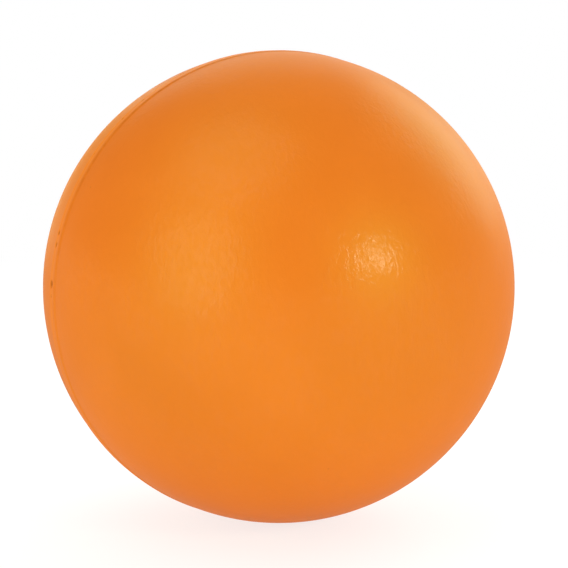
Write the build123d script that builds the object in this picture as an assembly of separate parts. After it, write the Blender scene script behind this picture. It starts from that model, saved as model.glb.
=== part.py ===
from build123d import *
import math
import os

# An inflated rubber dodgeball. Two moulded cover halves meet at a raised parting bead. Under them are
# a yarn winding, a bladder and a needle valve.
# The ball's centre is the origin and +Z is up. The parting plane is XZ, so the halves face -Y and +Y.
# The valve is on the +Y pole. Every piece is turned about the Y axis. All sizes are in millimetres.

# Ball and its layers, from the outside in
ball_diameter = 216.0
cover_wall = 1.5
winding_wall = 0.5
bladder_wall = 0.7
bond_line = 0.3

# Parting bead, on the outside of the cover where the mould halves met
bead_width = 8.0
bead_height = 0.4
bead_toe_radius = 5.0
parting_groove_radius = 0.3

# Shallow dish moulded round the valve
dish_diameter = 20.0
dish_depth = 0.4

# Valve sleeve, which is bonded inside the bladder by its flange
neck_diameter = 11.0
neck_edge_radius = 0.4
flange_diameter = 34.0
flange_edge_wall = 0.6
flange_root_radius = 1.5
sleeve_length = 21.0
sleeve_tip_diameter = 9.4
patch_diameter = 32.0

# Self-sealing core, which is pressed into the sleeve
core_clearance = 0.05
core_head_diameter = 7.6
core_head_height = 1.8
core_stem_diameter = 5.4
core_rib_diameter = 6.0
core_rib_width = 1.2
core_rib_pitch = 4.0
core_rib_count = 3
core_length = 17.0
core_tip_radius = 1.2

# Needle passage through the core
needle_bore_diameter = 2.5
needle_bore_length = 9.0
funnel_diameter = 4.4
funnel_depth = 1.0
slit_width = 0.2

# Radii of the nested layers
ball_radius = ball_diameter / 2
cover_inside = ball_radius - cover_wall
winding_outside = cover_inside - bond_line
winding_inside = winding_outside - winding_wall
bladder_outside = winding_inside - bond_line
bladder_inside = bladder_outside - bladder_wall
flange_outside = bladder_inside - bond_line

# Stations along the valve axis
dish_rim = math.sqrt(ball_radius**2 - (dish_diameter / 2) ** 2)
valve_face = dish_rim - dish_depth
flange_rim = math.sqrt(flange_outside**2 - (flange_diameter / 2) ** 2)
flange_flat = flange_rim - flange_edge_wall
sleeve_end = valve_face - sleeve_length
head_seat = valve_face - core_head_height
core_end = valve_face - core_length
bore_mouth = valve_face - funnel_depth
bore_floor = bore_mouth - needle_bore_length


def block(radius_from, radius_to, height_from, height_to):
    """A rectangle of a turned section, by its distances from the valve axis and from the parting plane."""
    corner = Pos(radius_from, height_from)
    return corner * Rectangle(radius_to - radius_from, height_to - height_from, align=(Align.MIN, Align.MIN))


def layer(outside, inside):
    """The right half of a spherical layer's section."""
    reach = 2 * outside
    return (Circle(outside) - Circle(inside)) & block(0, reach, -reach, reach)


def turned(section):
    """A solid of revolution about the valve axis."""
    return revolve(section, Axis.Y)


def neck_hole(wide):
    """The section of the round hole that a piece of the given diameter passes through at the valve."""
    return block(0, wide / 2 + bond_line, 0, 2 * ball_radius)


def cover_section():
    """The whole cover's section: a spherical wall with the parting bead and a fine groove along its crest."""
    crest = ball_radius + bead_height
    crest_radius = (bead_width**2 / 4 + bead_height**2) / (2 * bead_height)
    outline = Circle(ball_radius) + Pos(crest - crest_radius, 0) * Circle(crest_radius)
    toes = [corner for corner in outline.vertices() if corner.X > 0 and abs(corner.Y) < bead_width]
    outline = fillet(toes, bead_toe_radius)
    outline -= Circle(cover_inside)
    outline -= Pos(crest, 0) * Circle(parting_groove_radius)
    return outline & block(0, 2 * ball_radius, -2 * ball_radius, 2 * ball_radius)


def cover_front():
    """The half of the cover on the side away from the valve."""
    return turned(cover_section() & block(0, 2 * ball_radius, -2 * ball_radius, 0))


def cover_back():
    """The half of the cover on the valve's side, with the dish and the hole for the valve's neck."""
    half = cover_section() & block(0, 2 * ball_radius, 0, 2 * ball_radius)
    dish_radius = (dish_diameter**2 / 4 + dish_depth**2) / (2 * dish_depth)
    half -= Pos(0, valve_face + dish_radius) * Circle(dish_radius)
    half -= neck_hole(neck_diameter)
    return turned(half)


def yarn_winding():
    """The wound yarn, as one layer that stops short round the valve."""
    return turned(layer(winding_outside, winding_inside) - neck_hole(patch_diameter))


def bladder():
    """The balloon that holds the air, with the hole that the valve's neck passes through."""
    return turned(layer(bladder_outside, bladder_inside) - neck_hole(neck_diameter))


def valve_patch():
    """The cloth patch in the bare place that the winding leaves round the valve's neck."""
    cap = layer(winding_outside, winding_inside) & block(0, patch_diameter / 2, 0, 2 * ball_radius)
    return turned(cap - neck_hole(neck_diameter))


def valve_base():
    """The sleeve: a neck out through the cover, a feathered flange inside the bladder and a tapered tail."""
    tail_corners = [
        (0, sleeve_end),
        (sleeve_tip_diameter / 2, sleeve_end),
        (neck_diameter / 2, flange_flat),
        (0, flange_flat),
    ]
    tail = make_face(Polyline(*tail_corners, close=True))
    neck = block(0, neck_diameter / 2, flange_flat, valve_face)
    neck = fillet(neck.vertices().sort_by(Axis.X)[-2:].sort_by(Axis.Y)[-1], neck_edge_radius)
    flange = Circle(flange_outside) & block(0, flange_diameter / 2, flange_flat, ball_radius)
    body = flange + neck + tail
    root = [corner for corner in body.vertices() if math.dist((corner.X, corner.Y), tail_corners[2]) < 0.01]
    body = fillet(root, flange_root_radius)
    bore_radius = core_rib_diameter / 2 + core_clearance
    body -= block(0, bore_radius, sleeve_end, valve_face)
    body -= block(0, core_head_diameter / 2 + core_clearance, head_seat, valve_face)
    return turned(body)


def valve_core():
    """The insert: a head in the sleeve's seat, a ribbed stem, a needle passage and the slit that seals it."""
    stem = block(0, core_stem_diameter / 2, core_end, valve_face)
    stem = fillet(stem.vertices().sort_by(Axis.X)[-2:].sort_by(Axis.Y)[0], core_tip_radius)
    body = stem + block(0, core_head_diameter / 2, head_seat, valve_face)
    for rib in range(core_rib_count):
        rib_top = head_seat - (rib + 0.5) * core_rib_pitch
        body += block(0, core_rib_diameter / 2, rib_top - core_rib_width, rib_top)
    body -= block(0, needle_bore_diameter / 2, bore_floor, valve_face)
    funnel_corners = [
        (0, bore_mouth),
        (needle_bore_diameter / 2, bore_mouth),
        (funnel_diameter / 2, valve_face),
        (0, valve_face),
    ]
    body -= make_face(Polyline(*funnel_corners, close=True))
    slit_height = bore_floor - core_end
    slit = Box(needle_bore_diameter, slit_height, slit_width, align=(Align.CENTER, Align.MIN, Align.CENTER))
    return turned(body) - Pos(0, core_end, 0) * slit


pieces = {
    "cover_front": cover_front,
    "cover_back": cover_back,
    "yarn_winding": yarn_winding,
    "bladder": bladder,
    "valve_patch": valve_patch,
    "valve_base": valve_base,
    "valve_core": valve_core,
}

os.makedirs("parts", exist_ok=True)
for name, make in pieces.items():
    solid = make()
    solid.label = name
    export_step(solid, f"parts/{name}.step")
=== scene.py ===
# %% [markdown]
# # An inflated rubber dodgeball
# The CAD model gives this ball its exact size, its layers and its valve. This lesson gives it its looks: a
# satin orange cover with the mould's parting line round it, and the yarn, cloth and rubber inside. The
# first step loads the CAD model as a fixed frame, in metres, with the ball's centre at the origin. The
# valve is on the +Y side, and the parting line lies in the plane of X and Z.

# %% Load the frame
import math
import bmesh
import bpy
import numpy as np
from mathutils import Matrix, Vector


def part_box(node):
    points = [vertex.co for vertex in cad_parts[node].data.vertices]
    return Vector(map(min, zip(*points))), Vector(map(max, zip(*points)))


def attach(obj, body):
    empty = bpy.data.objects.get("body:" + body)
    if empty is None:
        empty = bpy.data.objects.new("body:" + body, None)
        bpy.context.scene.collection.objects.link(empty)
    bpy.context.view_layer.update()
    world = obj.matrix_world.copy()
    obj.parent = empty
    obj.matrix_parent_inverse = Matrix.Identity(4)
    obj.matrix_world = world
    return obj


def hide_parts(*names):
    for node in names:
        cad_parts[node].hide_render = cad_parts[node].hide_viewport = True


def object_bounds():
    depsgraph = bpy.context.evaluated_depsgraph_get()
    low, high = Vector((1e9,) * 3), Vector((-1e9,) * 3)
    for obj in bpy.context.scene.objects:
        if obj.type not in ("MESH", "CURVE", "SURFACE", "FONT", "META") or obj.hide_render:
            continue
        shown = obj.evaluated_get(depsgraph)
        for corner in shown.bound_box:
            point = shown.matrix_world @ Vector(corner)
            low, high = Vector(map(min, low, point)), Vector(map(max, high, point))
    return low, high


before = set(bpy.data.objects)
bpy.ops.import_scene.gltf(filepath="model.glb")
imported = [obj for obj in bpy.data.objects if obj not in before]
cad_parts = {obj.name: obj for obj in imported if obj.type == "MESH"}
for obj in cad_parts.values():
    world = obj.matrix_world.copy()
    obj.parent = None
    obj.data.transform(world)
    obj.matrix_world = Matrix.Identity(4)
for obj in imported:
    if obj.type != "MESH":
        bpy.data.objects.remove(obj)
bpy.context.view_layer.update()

ball_radius = -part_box("cover_front")[0][1]
mm = 0.001
print("ball radius", round(ball_radius / mm, 2), "mm, nodes", sorted(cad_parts))

# %% [markdown]
# A node tree is easier to read in a script when one call adds a node, sets it and links it. The first
# helper takes the node's inputs by name or by place. An input that is given another node's output is
# linked, and any other value is set on the socket. The other helpers are short names for the four nodes
# that this lesson uses most.

# %% Helpers that add nodes
def add(tree, kind, inputs=None, **settings):
    made = tree.nodes.new(kind)
    for name, value in settings.items():
        setattr(made, name, value)
    for key, value in (inputs or {}).items():
        if isinstance(value, bpy.types.NodeSocket):
            tree.links.new(value, made.inputs[key])
        else:
            made.inputs[key].default_value = value
    return made


def sums(tree, operation, *values):
    places = {place: value for place, value in enumerate(values)}
    return add(tree, "ShaderNodeMath", places, operation=operation).outputs[0]


def ramp(tree, value, start, end, first=0.0, last=1.0, smooth=False):
    """Goes from first to last while the value goes from start to end."""
    steps = {"Value": value, "From Min": start, "From Max": end, "To Min": first, "To Max": last}
    kind = "SMOOTHSTEP" if smooth else "LINEAR"
    return add(tree, "ShaderNodeMapRange", steps, interpolation_type=kind).outputs[0]


def noise(tree, place, scale, detail, roughness=0.5, distortion=0.0):
    look = {
        "Vector": place, "Scale": scale, "Detail": detail,
        "Roughness": roughness, "Distortion": distortion,
    }
    return add(tree, "ShaderNodeTexNoise", look).outputs[0]


def mix_colour(tree, share, first, second):
    return add(tree, "ShaderNodeMix", {0: share, 6: first, 7: second}, data_type="RGBA").outputs[2]


print("helpers ready:", ", ".join(helper.__name__ for helper in (add, sums, ramp, noise, mix_colour)))

# %% [markdown]
# Geometry trees and shader groups both start by naming their inputs and outputs. A geometry tree ends by
# making its instances real and giving them their material, so that the result can become a plain mesh.

# %% Helpers that open and close a tree
def open_group(name, kind, inputs, outputs):
    tree = bpy.data.node_groups.new(name, kind)
    for direction, sockets in (("INPUT", inputs), ("OUTPUT", outputs)):
        for label, (socket_type, value) in sockets.items():
            socket = tree.interface.new_socket(label, in_out=direction, socket_type=socket_type)
            if value is not None:
                socket.default_value = value
    return tree, add(tree, "NodeGroupInput").outputs


def close_tree(tree, geometry, finish, label):
    real = add(tree, "GeometryNodeRealizeInstances", {"Geometry": geometry})
    dressed = add(tree, "GeometryNodeSetMaterial", {"Geometry": real.outputs[0], "Material": finish})
    add(tree, "NodeGroupOutput", {label: dressed.outputs[0]})


print("ready to build trees")

# %% [markdown]
# The cover is two rubber half shells, moulded together in a two-part mould. Where the mould parted, the
# rubber stands up in a low bead, and the two halves meet in a hairline along its crest. The bead's crown is
# almost flat and its flanks drop off quickly, which a high power gives. A half shell follows one rule all
# the way round, so its section is enough to describe it. The section's points crowd together on the crest
# and on the flank, and spread out towards the pole, where the shape hardly changes.

# %% The section of a half shell
cover_wall = 1.5 * mm
bead_height = 0.50 * mm
bead_reach = 4.2 * mm
bead_power = 12
hairline_depth = 0.12 * mm
hairline_reach = 0.16 * mm


def bead(along):
    """How far the cover stands proud of the ball, at a distance along the cover from the parting plane."""
    crown = 1.0 / (1.0 + (along / bead_reach) ** bead_power)
    hairline = np.exp(-((along / hairline_reach) ** 2))
    return bead_height * crown - hairline_depth * hairline


def arc(radius, along, proud=0.0):
    turn = along / ball_radius
    return np.stack([(radius + proud) * np.cos(turn), (radius + proud) * np.sin(turn)], axis=1)


flank_from = 2.8 * mm
flank_to = 6.0 * mm
crest_crowding = 1.8
crown_points = 14
flank_points = 18
pole_points = 47
lining_points = 14
quarter = ball_radius * math.pi / 2
on_crown = flank_from * np.linspace(0, 1, crown_points) ** crest_crowding
on_flank = np.linspace(flank_from, flank_to, flank_points)[1:]
to_pole = np.linspace(flank_to, quarter, pole_points)[1:]
outside = np.concatenate([on_crown, on_flank, to_pole])
inside = np.linspace(0, quarter, lining_points)
print("points on the outside", len(outside), "closest", round((outside[1] - outside[0]) / mm, 3), "mm")

# %% [markdown]
# On the valve's side the cover has a shallow dish with a hole in it for the valve's neck. The dish comes
# from the CAD model's own sizes: its rim is the highest point of the back half, and its floor is level with
# the neck's face. The hole is as wide as the neck with the cement round it. The front half's section simply
# closes at the pole.

# %% The sections of both halves
neck_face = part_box("valve_base")[1][1]
dish_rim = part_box("cover_back")[1][1]
dish_radius = math.sqrt(ball_radius**2 - dish_rim**2)
dish_depth = dish_rim - neck_face
hole_radius = 5.8 * mm
dish_points = 9
dish_margin = 1.0 * mm

front_section = np.concatenate([
    arc(ball_radius, outside, bead(outside))[::-1],
    arc(ball_radius - cover_wall, inside),
])

across = np.linspace(dish_radius, hole_radius, dish_points)
dish = np.stack([across, dish_rim - dish_depth * (1 - (across / dish_radius) ** 2)], axis=1)
outside_end = ball_radius * np.arccos(dish_radius / ball_radius)
inside_end = ball_radius * np.arccos(hole_radius / (ball_radius - cover_wall))
below_dish = outside[outside < outside_end - dish_margin]
back_section = np.concatenate([
    dish[::-1],
    arc(ball_radius, below_dish, bead(below_dish))[::-1],
    arc(ball_radius - cover_wall, np.linspace(0, inside_end, lining_points - 1)),
    dish[-1:],
])
print("dish", round(2 * dish_radius / mm, 2), "mm across and", round(dish_depth / mm, 2), "mm deep")
print("section points", len(front_section), "front and", len(back_section), "back")

# %% [markdown]
# Turning a section about an axis is what a lathe does. Blender's Screw modifier could do it, and so can
# Geometry Nodes: a flat grid has one row for each point of the section and one column for each step round
# the ball, and Set Position bends the grid into place. Merge by Distance then closes the seam and the pole.
# The tree is the better choice here, because the trimming marks can follow it as a second tree on the same
# object.

# %% A lathe in Geometry Nodes
sheet_half = 0.5
weld_distance = 0.002 * mm


def build_lathe():
    tree, given = open_group("Lathe", "GeometryNodeTree", {
        "Section": ("NodeSocketGeometry", None),
        "Steps": ("NodeSocketInt", 64),
        "Finish": ("NodeSocketMaterial", None),
    }, {"Turned": ("NodeSocketGeometry", None)})
    size = add(tree, "GeometryNodeAttributeDomainSize", {"Geometry": given["Section"]})
    points = size.outputs["Point Count"]
    columns = sums(tree, "ADD", given["Steps"], 1.0)
    sheet = add(tree, "GeometryNodeMeshGrid", {
        "Vertices X": columns, "Vertices Y": points, "Size X": 2 * sheet_half, "Size Y": 2 * sheet_half})
    here = add(tree, "GeometryNodeInputPosition").outputs[0]
    place = add(tree, "ShaderNodeSeparateXYZ", {0: here}).outputs
    turn = sums(tree, "MULTIPLY", sums(tree, "ADD", place["X"], sheet_half), math.tau)
    last_row = sums(tree, "SUBTRACT", points, 1.0)
    row_share = sums(tree, "ADD", place["Y"], sheet_half)
    row = sums(tree, "ROUND", sums(tree, "MULTIPLY", row_share, last_row))
    found = add(tree, "GeometryNodeSampleIndex", {
        "Geometry": given["Section"], "Value": here, "Index": row}, data_type="FLOAT_VECTOR")
    section = add(tree, "ShaderNodeSeparateXYZ", {0: found.outputs[0]}).outputs
    bent = add(tree, "ShaderNodeCombineXYZ", {
        "X": sums(tree, "MULTIPLY", section["X"], sums(tree, "COSINE", turn)),
        "Y": section["Y"],
        "Z": sums(tree, "MULTIPLY", section["X"], sums(tree, "SINE", turn)),
    }).outputs[0]
    turned = add(tree, "GeometryNodeSetPosition", {"Geometry": sheet.outputs["Mesh"], "Position": bent})
    closed = add(tree, "GeometryNodeMergeByDistance", {
        "Geometry": turned.outputs[0], "Distance": weld_distance})
    smooth = add(tree, "GeometryNodeSetShadeSmooth", {"Geometry": closed.outputs[0], "Shade Smooth": True})
    close_tree(tree, smooth.outputs[0], given["Finish"], "Turned")
    return tree


lathe = build_lathe()
print("lathe has", len(lathe.nodes), "nodes")

# %% [markdown]
# When the ball came out of the mould, a thin web of rubber was trimmed off along the parting line. That
# left the crest uneven, with small nicks where the web tore. Such marks could be cut with Boolean
# modifiers, but a second tree is lighter and keeps the shell closed. It finds the nearest mark for each
# point of the cover and pushes the point inwards, most at the middle of the mark. It also stores how torn
# each point is, so that the finish can paint shade into the nicks. A slow noise makes the crest waver.

# %% The tree for the trimming marks
ragged_scale = 900.0
full_press = 0.35
torn_depth = 0.3 * mm
sway_scale = 110.0
crest_flat = 0.2 * mm
skin_depth = 0.5 * mm


def build_marks_tree():
    tree, given = open_group("Trimming marks", "GeometryNodeTree", {
        "Cover": ("NodeSocketGeometry", None),
        "Marks": ("NodeSocketObject", None),
        "Waver": ("NodeSocketFloat", 0.0),
        "Waver reach": ("NodeSocketFloat", 0.0025),
        "Finish": ("NodeSocketMaterial", None),
    }, {"Cover": ("NodeSocketGeometry", None)})
    marks = add(tree, "GeometryNodeObjectInfo", {"Object": given["Marks"]}).outputs["Geometry"]
    here = add(tree, "GeometryNodeInputPosition").outputs[0]
    nearest = add(tree, "GeometryNodeSampleNearest", {
        "Geometry": marks, "Sample Position": here}).outputs[0]

    def of_mark(value, kind):
        wanted = {"Geometry": marks, "Value": value, "Index": nearest}
        return add(tree, "GeometryNodeSampleIndex", wanted, data_type=kind).outputs[0]

    def named(name):
        return add(tree, "GeometryNodeInputNamedAttribute", {"Name": name}, data_type="FLOAT").outputs[0]

    centre = of_mark(here, "FLOAT_VECTOR")
    reach = of_mark(named("reach"), "FLOAT")
    depth = of_mark(named("depth"), "FLOAT")
    gap = add(tree, "ShaderNodeVectorMath", {0: here, 1: centre}, operation="DISTANCE").outputs["Value"]
    ragged = sums(tree, "ADD", noise(tree, here, ragged_scale, detail=2.0), 0.5)
    reach_share = sums(tree, "DIVIDE", sums(tree, "MULTIPLY", gap, ragged), reach)
    press = ramp(tree, reach_share, full_press, 1.0, first=1.0, last=0.0, smooth=True)

    from_plane = sums(tree, "ABSOLUTE", add(tree, "ShaderNodeSeparateXYZ", {0: here}).outputs["Y"])
    on_crest = ramp(tree, from_plane, crest_flat, given["Waver reach"], first=1.0, last=0.0, smooth=True)
    sway = sums(tree, "SUBTRACT", noise(tree, here, sway_scale, detail=3.0), 0.5)
    uneven = sums(tree, "MULTIPLY", sums(tree, "MULTIPLY", sway, given["Waver"]), on_crest)
    move = sums(tree, "SUBTRACT", uneven, sums(tree, "MULTIPLY", press, depth))

    outwards = add(tree, "ShaderNodeVectorMath", {0: here}, operation="NORMALIZE").outputs[0]
    shift = add(tree, "ShaderNodeVectorMath", {0: outwards, "Scale": move}, operation="SCALE").outputs[0]
    far_out = add(tree, "ShaderNodeVectorMath", {0: here}, operation="LENGTH").outputs["Value"]
    limits = {"A": far_out, "B": ball_radius - skin_depth}
    on_outside = add(tree, "FunctionNodeCompare", limits, operation="GREATER_THAN").outputs[0]
    moved = add(tree, "GeometryNodeSetPosition", {
        "Geometry": given["Cover"], "Selection": on_outside, "Offset": shift})
    # This value is stored so that the finish can paint shade into the nicks.
    nick_shade = sums(tree, "MULTIPLY", press, ramp(tree, depth, 0.0, torn_depth))
    noted = add(tree, "GeometryNodeStoreNamedAttribute", {
        "Geometry": moved.outputs[0], "Name": "nick", "Value": nick_shade}, data_type="FLOAT", domain="POINT")
    close_tree(tree, noted.outputs[0], given["Finish"], "Cover")
    return tree


marks_tree = build_marks_tree()
print("marks tree has", len(marks_tree.nodes), "nodes")

# %% [markdown]
# The marks themselves are loose points on the crest that carry a reach and a depth. The four deepest sit
# where they do on the real ball, on the left of the view, and the rest are scattered round the line with a
# fixed seed. Each is written as its turn round the line in degrees, from +X towards +Z, and its reach and
# depth in millimetres.

# %% The marks as points on the crest
def points_object(name, points, **values):
    mesh = bpy.data.meshes.new(name)
    mesh.from_pydata([tuple(point) for point in points], [], [])
    for label, numbers in values.items():
        layer = mesh.attributes.new(label, "FLOAT", "POINT")
        layer.data.foreach_set("value", np.array(numbers, dtype=np.float32))
    made = bpy.data.objects.new(name, mesh)
    bpy.context.collection.objects.link(made)
    return made


seen_marks = [(164.0, 1.2, 0.32), (166.8, 1.3, 0.34), (175.9, 2.2, 0.60), (178.8, 0.8, 0.30)]
other_count = 34
mark_seed = 11
chance = np.random.default_rng(mark_seed)
other_turns = chance.uniform(-170, 150, other_count)
other_marks = [(turn, chance.uniform(0.4, 1.0), chance.uniform(0.1, 0.25)) for turn in other_turns]
all_marks = np.array(seen_marks + other_marks)
turns = np.radians(all_marks[:, 0])
crest = ball_radius + bead_height
spots = np.stack([crest * np.cos(turns), 0 * turns, crest * np.sin(turns)], axis=1)
mark_points = points_object("mark_points", spots, reach=all_marks[:, 1] * mm, depth=all_marks[:, 2] * mm)
print("marks on the parting line", len(all_marks), "deepest", all_marks[:, 2].max(), "mm")

# %% [markdown]
# Small effects that several finishes share are shader node groups. This one is a soft mottle: rubber, yarn
# and cloth are never one even colour. It could be painted on, but a noise on Object coordinates needs no
# unwrapping and has no seams. Most of a noise lies between 0.3 and 0.7, so that part is spread out.

# %% Shared finish: mottle
noise_low = 0.3
noise_high = 0.7


def build_mottle():
    tree, given = open_group("Mottle", "ShaderNodeTree", {
        "Place": ("NodeSocketVector", None),
        "Scale": ("NodeSocketFloat", 40.0),
        "Dark": ("NodeSocketColor", (0.1, 0.1, 0.1, 1)),
        "Light": ("NodeSocketColor", (0.9, 0.9, 0.9, 1)),
    }, {"Color": ("NodeSocketColor", None), "Mask": ("NodeSocketFloat", None)})
    cloud_noise = noise(tree, given["Place"], given["Scale"], detail=4.0, roughness=0.55)
    cloud = ramp(tree, cloud_noise, noise_low, noise_high)
    mixed = mix_colour(tree, cloud, given["Dark"], given["Light"])
    add(tree, "NodeGroupOutput", {"Color": mixed, "Mask": cloud})
    return tree


mottle = build_mottle()
print("mottle group has", len(mottle.nodes), "nodes")

# %% [markdown]
# Moulded rubber takes on the fine grain of the mould, and a few tiny pits where air was caught. The cover,
# the bladder and both pieces of the valve have it, so it is a group too, with the grain's scale as an
# input.

# %% Shared finish: moulded grain
pit_cells = 0.25
pit_rarity = 0.9
pit_core = 0.1
pit_edge = 0.25


def build_grain():
    tree, given = open_group("Moulded grain", "ShaderNodeTree", {
        "Place": ("NodeSocketVector", None),
        "Scale": ("NodeSocketFloat", 1300.0),
        "Pits": ("NodeSocketFloat", 0.3),
    }, {"Height": ("NodeSocketFloat", None)})
    fine = noise(tree, given["Place"], given["Scale"], detail=2.0)
    pit_scale = sums(tree, "MULTIPLY", given["Scale"], pit_cells)
    cell = add(tree, "ShaderNodeTexVoronoi", {"Vector": given["Place"], "Scale": pit_scale}).outputs
    drawn = add(tree, "ShaderNodeSeparateColor", {0: cell["Color"]}).outputs[0]
    chosen = sums(tree, "MULTIPLY", sums(tree, "GREATER_THAN", drawn, pit_rarity), given["Pits"])
    hollow = ramp(tree, cell["Distance"], pit_core, pit_edge, first=1.0, last=0.0, smooth=True)
    pit = sums(tree, "MULTIPLY", hollow, chosen)
    add(tree, "NodeGroupOutput", {"Height": sums(tree, "SUBTRACT", fine, pit)})
    return tree


moulded_grain = build_grain()
print("grain group has", len(moulded_grain.nodes), "nodes")

# %% [markdown]
# Only the cover is crinkled: its skin shrank as it cooled, in short folds that run up and down and come and
# go in patches. They hardly show by themselves, but they break a highlight into glints. A noise that is
# drawn out along Z makes upright folds, and a second, larger noise says where they are strong.

# %% The cover's crinkles
fold_scale = 440.0
fold_squeeze = (1.0, 1.0, 0.55)
patch_scale = 40.0
patch_from = 0.4
patch_to = 0.62
faint_folds = 0.6


def mould_crinkle(tree, place):
    squeezed = {0: place, 1: fold_squeeze}
    upright = add(tree, "ShaderNodeVectorMath", squeezed, operation="MULTIPLY").outputs[0]
    fold_noise = noise(tree, upright, fold_scale, detail=3.0, roughness=0.55, distortion=0.4)
    folds = ramp(tree, fold_noise, noise_low, noise_high)
    patch_noise = noise(tree, place, patch_scale, detail=2.0)
    patches = ramp(tree, patch_noise, patch_from, patch_to, first=faint_folds, last=1.0, smooth=True)
    return sums(tree, "MULTIPLY", folds, patches)


print("one fold is about", round(1.0 / fold_scale / mm, 1), "mm wide")

# %% [markdown]
# The rubber is dyed right through, so its orange is nearly even. The crest of the bead gets a painted
# highlight, a paler orange where the raised crest catches the light, and its foot gets painted shade, a
# broken darker line where the flank turns away from the light. Both are painted stronger towards the top of
# the ball. A few dark specks are scattered over it, and the nicks are darkened with painted shade. The
# parting plane is the plane of X and Z, so a point's Y tells how far it is from the parting line, and the
# nicks come from the attribute that the marks tree stored.

# %% The cover's colour
dark_orange = (0.765, 0.150, 0.0100, 1)
light_orange = (0.80, 0.162, 0.0120, 1)
# A paler orange for the painted highlight on the crest of the bead.
crest_highlight_orange = (0.92, 0.215, 0.012, 1)
# A darker orange for the real specks, and also for the painted shade of the foot line and the nicks.
speck_and_shade_orange = (0.42, 0.060, 0.004, 1)
orange_scale = 22.0
line_low = -20.0 * mm
line_high = 90.0 * mm
crest_core = 1.0 * mm
crest_edge = 3.0 * mm
foot_core = 0.3 * mm
foot_edge = 1.2 * mm
speck_scale = 75.0
speck_core = 0.02
speck_edge = 0.05
speck_rarity = 0.72
speck_strength = 0.3
nick_shade_strength = 0.95


def place_group(tree, group, inputs):
    return add(tree, "ShaderNodeGroup", inputs, node_tree=group).outputs


def rubber_colour(tree, place, crinkle):
    shades = {"Place": place, "Scale": orange_scale, "Dark": dark_orange, "Light": light_orange}
    cloud = place_group(tree, mottle, shades)
    along = add(tree, "ShaderNodeSeparateXYZ", {0: place}).outputs
    from_line = sums(tree, "ABSOLUTE", along["Y"])
    # Painted highlight: the crest is painted paler where it catches the light, more so towards the top.
    highlight_towards_top = ramp(tree, along["Z"], line_low, line_high, first=0.25, last=0.6)
    crest_highlight = ramp(tree, from_line, crest_core, crest_edge, first=highlight_towards_top, last=0.0, smooth=True)
    highlighted_colour = mix_colour(tree, crest_highlight, cloud["Color"], crest_highlight_orange)

    # Painted shade: a broken darker line along the foot of the bead, where its flank turns from the light,
    # darker towards the top.
    off_foot = sums(tree, "ABSOLUTE", sums(tree, "SUBTRACT", from_line, bead_reach))
    shade_towards_top = ramp(tree, along["Z"], line_low, line_high, first=0.12, last=0.42)
    foot_shade_line = ramp(tree, off_foot, foot_core, foot_edge, first=shade_towards_top, last=0.0, smooth=True)
    foot_shade = sums(tree, "MULTIPLY", foot_shade_line, crinkle)
    cell = add(tree, "ShaderNodeTexVoronoi", {"Vector": place, "Scale": speck_scale}).outputs
    drawn = add(tree, "ShaderNodeSeparateColor", {0: cell["Color"]}).outputs[0]
    dot = ramp(tree, cell["Distance"], speck_core, speck_edge, first=speck_strength, last=0.0, smooth=True)
    speck = sums(tree, "MULTIPLY", dot, sums(tree, "GREATER_THAN", drawn, speck_rarity))
    # Painted shade: the nicks are darkened where they are pressed in.
    nick = add(tree, "ShaderNodeAttribute", attribute_name="nick").outputs["Fac"]
    nick_shade = sums(tree, "MULTIPLY", nick, nick_shade_strength)
    # Real dark specks and the painted shade of the foot line and the nicks are mixed in here.
    specks_and_shade = sums(tree, "MAXIMUM", sums(tree, "MAXIMUM", speck, nick_shade), foot_shade)
    return mix_colour(tree, specks_and_shade, highlighted_colour, speck_and_shade_orange), cloud["Mask"]


print("colour from", dark_orange[:3], "to", light_orange[:3])

# %% [markdown]
# The gloss has two layers. The rubber itself is satin and gives a broad, yellowish sheen, so its specular
# level is low and its specular tint strong: that keeps the tint in the sheen and keeps the rim of the ball
# from turning white. Over it lies the thin polish that the mould left. It is the shader's coat, a few parts
# in a hundred, with a high refraction so that it shows as much in front as at the rim. The polish follows
# the crinkles more closely than the rubber does, so the two layers have bumps of their own.

# %% The cover's orange rubber
sheen_tint = (1.4, 19.4, 2.2, 1)
cover_grain_scale = 1300.0
grain_share = 0.15
crinkle_share = 0.6
skin_relief = 0.08 * mm
polish_relief = 0.155 * mm


def start_material(name):
    made = bpy.data.materials.new(name)
    made.use_nodes = True
    tree = made.node_tree
    tree.nodes.clear()
    shader = add(tree, "ShaderNodeBsdfPrincipled")
    add(tree, "ShaderNodeOutputMaterial", {"Surface": shader.outputs[0]})
    place = add(tree, "ShaderNodeTexCoord").outputs["Object"]
    return made, tree, shader, place


def orange_rubber():
    made, tree, shader, place = start_material("orange_rubber")
    crinkle = mould_crinkle(tree, place)
    colour, cloud = rubber_colour(tree, place, crinkle)
    tree.links.new(colour, shader.inputs["Base Color"])
    satin = ramp(tree, cloud, 0.0, 1.0, first=0.47, last=0.51)
    tree.links.new(satin, shader.inputs["Roughness"])
    shader.inputs["Specular IOR Level"].default_value = 0.045
    shader.inputs["Specular Tint"].default_value = sheen_tint

    grain = place_group(tree, moulded_grain, {"Place": place, "Scale": cover_grain_scale})["Height"]
    grained = sums(tree, "MULTIPLY", grain, grain_share)
    skin = sums(tree, "ADD", grained, sums(tree, "MULTIPLY", crinkle, crinkle_share))
    skin_bump = add(tree, "ShaderNodeBump", {"Height": skin, "Strength": 1.0, "Distance": skin_relief})
    tree.links.new(skin_bump.outputs[0], shader.inputs["Normal"])

    polish = ramp(tree, crinkle, 0.1, 0.8, first=0.012, last=0.045)
    tree.links.new(polish, shader.inputs["Coat Weight"])
    shader.inputs["Coat Roughness"].default_value = 0.165
    shader.inputs["Coat IOR"].default_value = 3.5
    folded = {"Height": crinkle, "Strength": 1.0, "Distance": polish_relief}
    polish_bump = add(tree, "ShaderNodeBump", folded)
    tree.links.new(polish_bump.outputs[0], shader.inputs["Coat Normal"])
    return made


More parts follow.
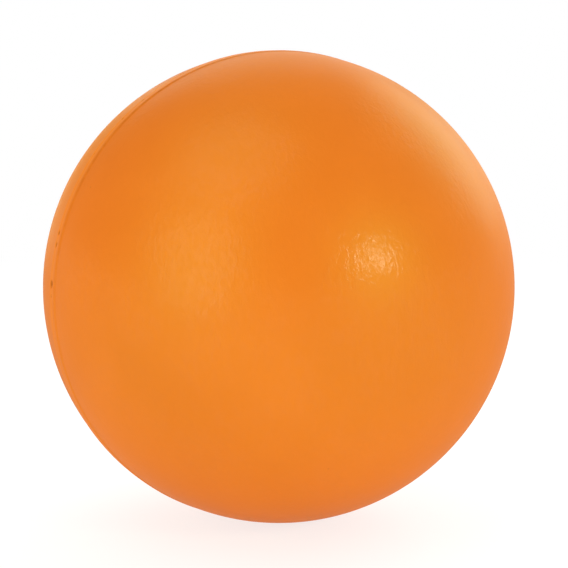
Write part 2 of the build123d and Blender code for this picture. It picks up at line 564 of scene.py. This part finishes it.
cover_finish = orange_rubber()
print("cover finish", cover_finish.name, "has", len(cover_finish.node_tree.nodes), "nodes")

# %% [markdown]
# A tree runs as a modifier. Its inputs are set by their identifiers before the object is first evaluated,
# and the evaluated result is then kept as a plain mesh, without the modifier. Last, the shell's normals are
# turned outwards and its sharp edges are marked, so that the dish and the crest stay crisp.

# %% Helpers that run a tree
def identifier(tree, label):
    for socket in tree.interface.items_tree:
        if socket.item_type == "SOCKET" and socket.in_out == "INPUT" and socket.name == label:
            return socket.identifier
    raise KeyError(label)


def run_tree(made, tree, values):
    modifier = made.modifiers.new(tree.name, "NODES")
    modifier.node_group = tree
    for label, value in values.items():
        modifier[identifier(tree, label)] = value


def as_plain_mesh(source, name):
    shown = source.evaluated_get(bpy.context.evaluated_depsgraph_get())
    mesh = bpy.data.meshes.new_from_object(shown)
    mesh.name = name
    source.modifiers.clear()
    made = bpy.data.objects.new(name, mesh)
    bpy.context.collection.objects.link(made)
    bpy.data.objects.remove(source)
    return made


def finish_shell(made, crease_degrees):
    work = bmesh.new()
    work.from_mesh(made.data)
    loose = [edge for edge in work.edges if not edge.link_faces]
    bmesh.ops.delete(work, geom=loose, context="EDGES")
    bmesh.ops.recalc_face_normals(work, faces=work.faces)
    for edge in work.edges:
        if len(edge.link_faces) == 2:
            edge.smooth = edge.calc_face_angle() < math.radians(crease_degrees)
    open_edges = sum(1 for edge in work.edges if len(edge.link_faces) != 2)
    work.to_mesh(made.data)
    work.free()
    return open_edges


def triangles(made):
    return sum(len(face.vertices) - 2 for face in made.data.polygons)


print("ready to turn the cover")

# %% [markdown]
# Each half of the cover is turned on the lathe and then marked. The finished mesh takes the place of its
# CAD node, whose solid stays as the ball's collision shape. The two halves stay separate pieces, as they
# are in the CAD model, and both ride on the ball.

# %% Turn both halves of the cover
steps_round = 960
waver = 0.15 * mm
waver_reach = 2.5 * mm
crease = 50


def turned_half(name, section, side):
    half = points_object(name + "_section", [(out, side * up, 0.0) for out, up in section])
    run_tree(half, lathe, {"Steps": steps_round, "Finish": cover_finish})
    run_tree(half, marks_tree, {
        "Marks": mark_points, "Waver": waver, "Waver reach": waver_reach, "Finish": cover_finish})
    made = as_plain_mesh(half, name)
    open_edges = finish_shell(made, crease)
    print(name, triangles(made), "triangles,", open_edges, "open edges")
    return made


cover_front = turned_half("cover_front_skin", front_section, -1.0)
cover_back = turned_half("cover_back_skin", back_section, 1.0)
bpy.data.objects.remove(mark_points)
for skin_piece, node_name in ((cover_front, "cover_front"), (cover_back, "cover_back")):
    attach(skin_piece, "ball")
    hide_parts(node_name)

# %% [markdown]
# The yarn, the cloth patch and the dark rubbers are mostly hidden, but they are real pieces, so each gets a
# finish of its own. Yarn and cloth are matt, with fine threads that cross. The bladder is smooth black
# rubber, and the valve's two pieces are harder rubbers, one grey and one brown. The mottle and the grain
# are the same groups as on the cover, with other values.

# %% Finishes of the inner pieces
thread_cloud_scale = 120.0
thread_relief = 0.1 * mm
rubber_cloud_scale = 300.0
rubber_grain_scale = 2500.0
rubber_relief = 0.06 * mm
roughness_spread = 0.05


def thread_finish(name, dark, light, threads):
    made, tree, shader, place = start_material(name)
    shades = {"Place": place, "Scale": thread_cloud_scale, "Dark": dark, "Light": light}
    cloud = place_group(tree, mottle, shades)
    tree.links.new(cloud["Color"], shader.inputs["Base Color"])
    look = {"Vector": place, "Scale": threads, "Distortion": 0.6}
    one_way = add(tree, "ShaderNodeTexWave", look, bands_direction="X").outputs[1]
    other_way = add(tree, "ShaderNodeTexWave", look, bands_direction="Z").outputs[1]
    woven = sums(tree, "MAXIMUM", one_way, other_way)
    bump = add(tree, "ShaderNodeBump", {"Height": woven, "Strength": 0.5, "Distance": thread_relief})
    tree.links.new(bump.outputs[0], shader.inputs["Normal"])
    shader.inputs["Roughness"].default_value = 0.85
    shader.inputs["Sheen Weight"].default_value = 0.15
    return made


def dark_rubber(name, dark, light, roughness):
    made, tree, shader, place = start_material(name)
    shades = {"Place": place, "Scale": rubber_cloud_scale, "Dark": dark, "Light": light}
    cloud = place_group(tree, mottle, shades)
    tree.links.new(cloud["Color"], shader.inputs["Base Color"])
    grain = place_group(tree, moulded_grain, {"Place": place, "Scale": rubber_grain_scale})["Height"]
    bump = add(tree, "ShaderNodeBump", {"Height": grain, "Strength": 0.3, "Distance": rubber_relief})
    tree.links.new(bump.outputs[0], shader.inputs["Normal"])
    smoothest = roughness - roughness_spread
    roughest = roughness + roughness_spread
    rough = ramp(tree, cloud["Mask"], 0.0, 1.0, first=smoothest, last=roughest)
    tree.links.new(rough, shader.inputs["Roughness"])
    return made


inner_finishes = {
    "yarn_winding": thread_finish("wound_yarn", (0.62, 0.57, 0.46, 1), (0.80, 0.76, 0.66, 1), 220.0),
    "valve_patch": thread_finish("patch_cloth", (0.40, 0.34, 0.25, 1), (0.56, 0.50, 0.39, 1), 380.0),
    "bladder": dark_rubber("butyl_rubber", (0.020, 0.020, 0.021, 1), (0.036, 0.036, 0.038, 1), 0.38),
    "valve_base": dark_rubber("sleeve_rubber", (0.036, 0.033, 0.031, 1), (0.058, 0.053, 0.049, 1), 0.6),
    "valve_core": dark_rubber("core_rubber", (0.060, 0.036, 0.022, 1), (0.095, 0.060, 0.038, 1), 0.45),
}
for node_name, finish in inner_finishes.items():
    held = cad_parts[node_name].data.materials
    held.clear()
    held.append(finish)
print("finishes", [finish.name for finish in inner_finishes.values()])

# %% [markdown]
# Under the cover the ball is wound with yarn. Each turn goes round the ball's middle, and the machine tips
# the ball a little between turns, always missing the valve. One long curve could follow the yarn, but
# hundreds of separate turns look the same and are simpler: Geometry Nodes copies one hoop, with its axis
# spread evenly by the golden angle. The spread stops short of the axes whose hoops would cross the valve,
# and each hoop has a slightly different size, so that the turns pass over and under each other.

# %% The tree for the yarn
hoop_points = 84
yarn_sides = 4
golden_angle = math.pi * (3 - math.sqrt(5))


def build_winding():
    tree, given = open_group("Winding", "GeometryNodeTree", {
        "Wound": ("NodeSocketGeometry", None),
        "Hoops": ("NodeSocketInt", 100),
        "Radius": ("NodeSocketFloat", 0.1),
        "Layer": ("NodeSocketFloat", 0.001),
        "Yarn width": ("NodeSocketFloat", 0.001),
        "Yarn thickness": ("NodeSocketFloat", 0.0005),
        "Widest tilt": ("NodeSocketFloat", 1.0),
        "Seed": ("NodeSocketInt", 5),
        "Finish": ("NodeSocketMaterial", None),
    }, {"Wound": ("NodeSocketGeometry", None)})
    hoop = add(tree, "GeometryNodeCurvePrimitiveCircle", {
        "Resolution": hoop_points, "Radius": given["Radius"]})
    starts = add(tree, "GeometryNodePoints", {"Count": given["Hoops"], "Position": (0, 0, 0)})
    count = add(tree, "GeometryNodeInputIndex").outputs[0]
    share = sums(tree, "DIVIDE", sums(tree, "ADD", count, 0.5), given["Hoops"])
    span = sums(tree, "SUBTRACT", 1.0, sums(tree, "COSINE", given["Widest tilt"]))
    rise = sums(tree, "SUBTRACT", 1.0, sums(tree, "MULTIPLY", share, span))
    out = sums(tree, "SQRT", sums(tree, "SUBTRACT", 1.0, sums(tree, "MULTIPLY", rise, rise)))
    golden_turn = sums(tree, "MULTIPLY", count, golden_angle)
    axis = add(tree, "ShaderNodeCombineXYZ", {
        "X": sums(tree, "MULTIPLY", out, sums(tree, "COSINE", golden_turn)),
        "Y": rise,
        "Z": sums(tree, "MULTIPLY", out, sums(tree, "SINE", golden_turn)),
    }).outputs[0]
    tip = add(tree, "FunctionNodeAlignRotationToVector", {"Vector": axis}, axis="Z").outputs[0]
    depths = {2: -1.0, 3: 0.0, "Seed": given["Seed"]}
    level = add(tree, "FunctionNodeRandomValue", depths, data_type="FLOAT")
    sink = sums(tree, "DIVIDE", sums(tree, "MULTIPLY", level.outputs[1], given["Layer"]), given["Radius"])
    hoops = add(tree, "GeometryNodeInstanceOnPoints", {
        "Points": starts.outputs[0], "Instance": hoop.outputs[0], "Rotation": tip,
        "Scale": sums(tree, "ADD", 1.0, sink)})
    real = add(tree, "GeometryNodeRealizeInstances", {"Geometry": hoops.outputs[0]})
    round_yarn = add(tree, "GeometryNodeCurvePrimitiveCircle", {
        "Resolution": yarn_sides, "Radius": sums(tree, "DIVIDE", given["Yarn thickness"], 2.0)})
    widening = sums(tree, "DIVIDE", given["Yarn width"], given["Yarn thickness"])
    spread = add(tree, "ShaderNodeCombineXYZ", {"X": 1.0, "Y": widening, "Z": 1.0}).outputs[0]
    flat_yarn = add(tree, "GeometryNodeTransform", {"Geometry": round_yarn.outputs[0], "Scale": spread})
    wound = add(tree, "GeometryNodeCurveToMesh", {
        "Curve": real.outputs[0], "Profile Curve": flat_yarn.outputs[0]})
    close_tree(tree, wound.outputs[0], given["Finish"], "Wound")
    return tree


winding_tree = build_winding()
print("winding tree has", len(winding_tree.nodes), "nodes")

# %% [markdown]
# The winding stands for the CAD model's plain yarn layer and stays inside it, so its radius comes from that
# node. A hoop misses the valve when its axis is at most 79 degrees from the valve's.

# %% Wind the yarn
winding_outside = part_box("yarn_winding")[1][0]
winding_inset = 0.15 * mm
winding_layer = 0.25 * mm
hoop_count = 230
yarn_width = 0.88 * mm
yarn_thickness = 0.22 * mm
widest_tilt = math.radians(79)
winding_seed = 5

start = points_object("winding_start", [(0, 0, 0)])
run_tree(start, winding_tree, {
    "Hoops": hoop_count, "Radius": winding_outside - winding_inset, "Layer": winding_layer,
    "Yarn width": yarn_width, "Yarn thickness": yarn_thickness,
    "Widest tilt": widest_tilt, "Seed": winding_seed, "Finish": inner_finishes["yarn_winding"],
})
winding = as_plain_mesh(start, "yarn_turns")
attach(winding, "ball")
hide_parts("yarn_winding")
print("yarn", triangles(winding), "triangles")

# %% [markdown]
# The camera looks at the ball a little from the left and from above, which puts the parting line near the
# left edge. A camera can be placed by eye, but here it is worked out: the lens makes the ball fill the same
# part of the frame as in the photograph, and a small shift puts it in the same place.

# %% The camera
view_azimuth = math.radians(-23.7)
view_elevation = math.radians(8.2)
view_distance = 7.0 * ball_radius
frame_pixels = 568.0
ball_pixels = 235.9
shift_right_pixels = 5.2
shift_up_pixels = 3.2
towards_camera = Vector((
    math.sin(view_azimuth) * math.cos(view_elevation),
    -math.cos(view_azimuth) * math.cos(view_elevation),
    math.sin(view_elevation),
))
camera_data = bpy.data.cameras.new("camera")
camera = bpy.data.objects.new("camera", camera_data)
bpy.context.collection.objects.link(camera)
camera.location = towards_camera * view_distance
camera.rotation_euler = (-towards_camera).to_track_quat("-Z", "Y").to_euler()
limb = math.tan(math.asin(ball_radius / view_distance))
camera_data.sensor_width = 36.0
camera_data.lens = camera_data.sensor_width * ball_pixels / limb / frame_pixels
camera_data.shift_x = shift_right_pixels / frame_pixels
camera_data.shift_y = shift_up_pixels / frame_pixels
bpy.context.scene.camera = camera
print("lens", round(camera_data.lens, 1), "mm")

# %% [markdown]
# The stage is a pale table in a small white studio. Light Path tells what kind of ray meets the world. Rays
# from the camera find plain white, with a strength of 1. The rays of gloss and glass find a white backdrop
# all round the horizon and a dim ceiling above it, because an all-white room would leave the satin ball
# without any form. All other rays find soft light that is stronger from the white sweep behind the ball
# than from the room in front of it.

# %% The white studio
room_level = 0.44
sweep_level = 0.84
ceiling_level = 0.10
backdrop_top = 0.03
ceiling_from = 0.14
white_light = (1, 1, 1, 1)


def ray_kinds(tree):
    kinds = add(tree, "ShaderNodeLightPath").outputs
    gloss_or_glass = sums(tree, "MAXIMUM", kinds["Is Glossy Ray"], kinds["Is Transmission Ray"])
    return gloss_or_glass, kinds["Is Camera Ray"]


world = bpy.data.worlds.new("studio")
bpy.context.scene.world = world
world.use_nodes = True
world.cycles.sampling_method = "NONE"
studio = world.node_tree
studio.nodes.clear()
in_gloss, by_camera = ray_kinds(studio)
direction = add(studio, "ShaderNodeTexCoord").outputs["Generated"]
upwards = add(studio, "ShaderNodeSeparateXYZ", {0: direction}).outputs["Z"]
backdrop = ramp(studio, upwards, backdrop_top, ceiling_from, 1.0, ceiling_level, smooth=True)
behind = add(studio, "ShaderNodeVectorMath", {0: direction, 1: -towards_camera}, operation="DOT_PRODUCT")
soft_light = ramp(studio, behind.outputs["Value"], -1.0, 1.0, room_level, sweep_level)
unseen = ramp(studio, in_gloss, 0.0, 1.0, soft_light, backdrop)
shown = sums(studio, "MAXIMUM", unseen, by_camera)
studio_light = add(studio, "ShaderNodeBackground", {"Color": white_light, "Strength": shown})
add(studio, "ShaderNodeOutputWorld", {"Surface": studio_light.outputs[0]})
print("the world lights the ball at", room_level, "to", sweep_level)

# %% [markdown]
# The table is matt and nearly white, and glows a little, as paper that is lit from below does. Near the
# ball the camera sees its own shading, so that the soft shadow stays, and further out the table melts into
# plain white. The gloss sees it as an even, dimmer white, which keeps the lower edge of the ball from
# turning pale.

# %% The table
table_size = 6.0
table_grey = (0.70, 0.70, 0.70, 1)
table_glow = 0.43
shadow_from = 0.20
shadow_to = 1.00
shadow_share = 0.42
table_in_gloss = 0.65


def pale_table():
    made = bpy.data.materials.new("pale_table")
    made.use_nodes = True
    tree = made.node_tree
    tree.nodes.clear()
    matt = add(tree, "ShaderNodeBsdfDiffuse", {"Color": table_grey})
    glow = add(tree, "ShaderNodeEmission", {"Color": white_light, "Strength": table_glow})
    lit = add(tree, "ShaderNodeAddShader", {0: matt.outputs[0], 1: glow.outputs[0]})
    in_gloss, by_camera = ray_kinds(tree)
    plain_level = ramp(tree, by_camera, 0.0, 1.0, table_in_gloss, 1.0)
    white = add(tree, "ShaderNodeEmission", {"Color": white_light, "Strength": plain_level})
    place = add(tree, "ShaderNodeTexCoord").outputs["Object"]
    far = add(tree, "ShaderNodeVectorMath", {0: place}, operation="LENGTH").outputs["Value"]
    fade = ramp(tree, far, shadow_from, shadow_to, 1.0 - shadow_share, 1.0, smooth=True)
    share = sums(tree, "MAXIMUM", in_gloss, sums(tree, "MULTIPLY", by_camera, fade))
    mixed = add(tree, "ShaderNodeMixShader", {0: share, 1: lit.outputs[0], 2: white.outputs[0]})
    add(tree, "ShaderNodeOutputMaterial", {"Surface": mixed.outputs[0]})
    return made


floor_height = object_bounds()[0][2]
bpy.ops.mesh.primitive_plane_add(size=table_size, location=(0, 0, floor_height))
floor = bpy.context.active_object
floor.name = "table"
floor.data.materials.append(pale_table())
print("table at", round(floor_height / mm, 2), "mm")

# %% [markdown]
# Two softboxes stand in front, a wide one on the left and a small one on the right, and make the two
# highlights. Their light is a warm white. A third hangs overhead. The last three stand behind the ball,
# where their light only grazes it: a weak amber one lights the crescent beyond the parting line, and the
# others give the pale rim at the top and on the upper right. A lamp's place is given as it is seen from the
# camera: how far to the right and how far up from the line of sight, in degrees. Its power is worked out
# from the level that it gives on the ball, so that a wider softbox is only softer.

# %% The lamps
lamp_distance = 1.2
plain_white = (1.0, 1.0, 1.0)
warm_white = (1.0, 0.98, 0.72)
amber_white = (1.0, 0.90, 0.35)
view_right = Vector((math.cos(view_azimuth), math.sin(view_azimuth), 0.0))
view_up = view_right.cross(-towards_camera)


def soft_lamp(name, right, up, size, brightness, colour):
    right, up = math.radians(right), math.radians(up)
    aim = view_right * math.sin(right) * math.cos(up) + view_up * math.sin(up)
    aim += towards_camera * math.cos(right) * math.cos(up)
    data = bpy.data.lights.new(name, "AREA")
    data.shape = "DISK"
    data.size = size
    data.color = colour
    data.energy = brightness * (math.pi * lamp_distance) ** 2
    made = bpy.data.objects.new(name, data)
    bpy.context.collection.objects.link(made)
    made.location = aim * lamp_distance
    made.rotation_euler = (-aim).to_track_quat("-Z", "Y").to_euler()
    made.visible_camera = False
    return made


lamps = [
    soft_lamp("left_softbox", -37, 11, 0.9, 0.285, warm_white),
    soft_lamp("right_softbox", 45, 12, 0.22, 0.235, warm_white),
    soft_lamp("overhead_softbox", -35, 58, 1.0, 0.20, plain_white),
    soft_lamp("left_rim_softbox", -152, 17, 0.6, 0.08, amber_white),
    soft_lamp("right_rim_softbox", 134, 32, 0.9, 0.46, plain_white),
    soft_lamp("back_softbox", -175, 40, 1.0, 0.25, plain_white),
]
bpy.context.scene.view_settings.view_transform = "Standard"
print("lamps", [(lamp.name, round(lamp.data.energy, 2)) for lamp in lamps])
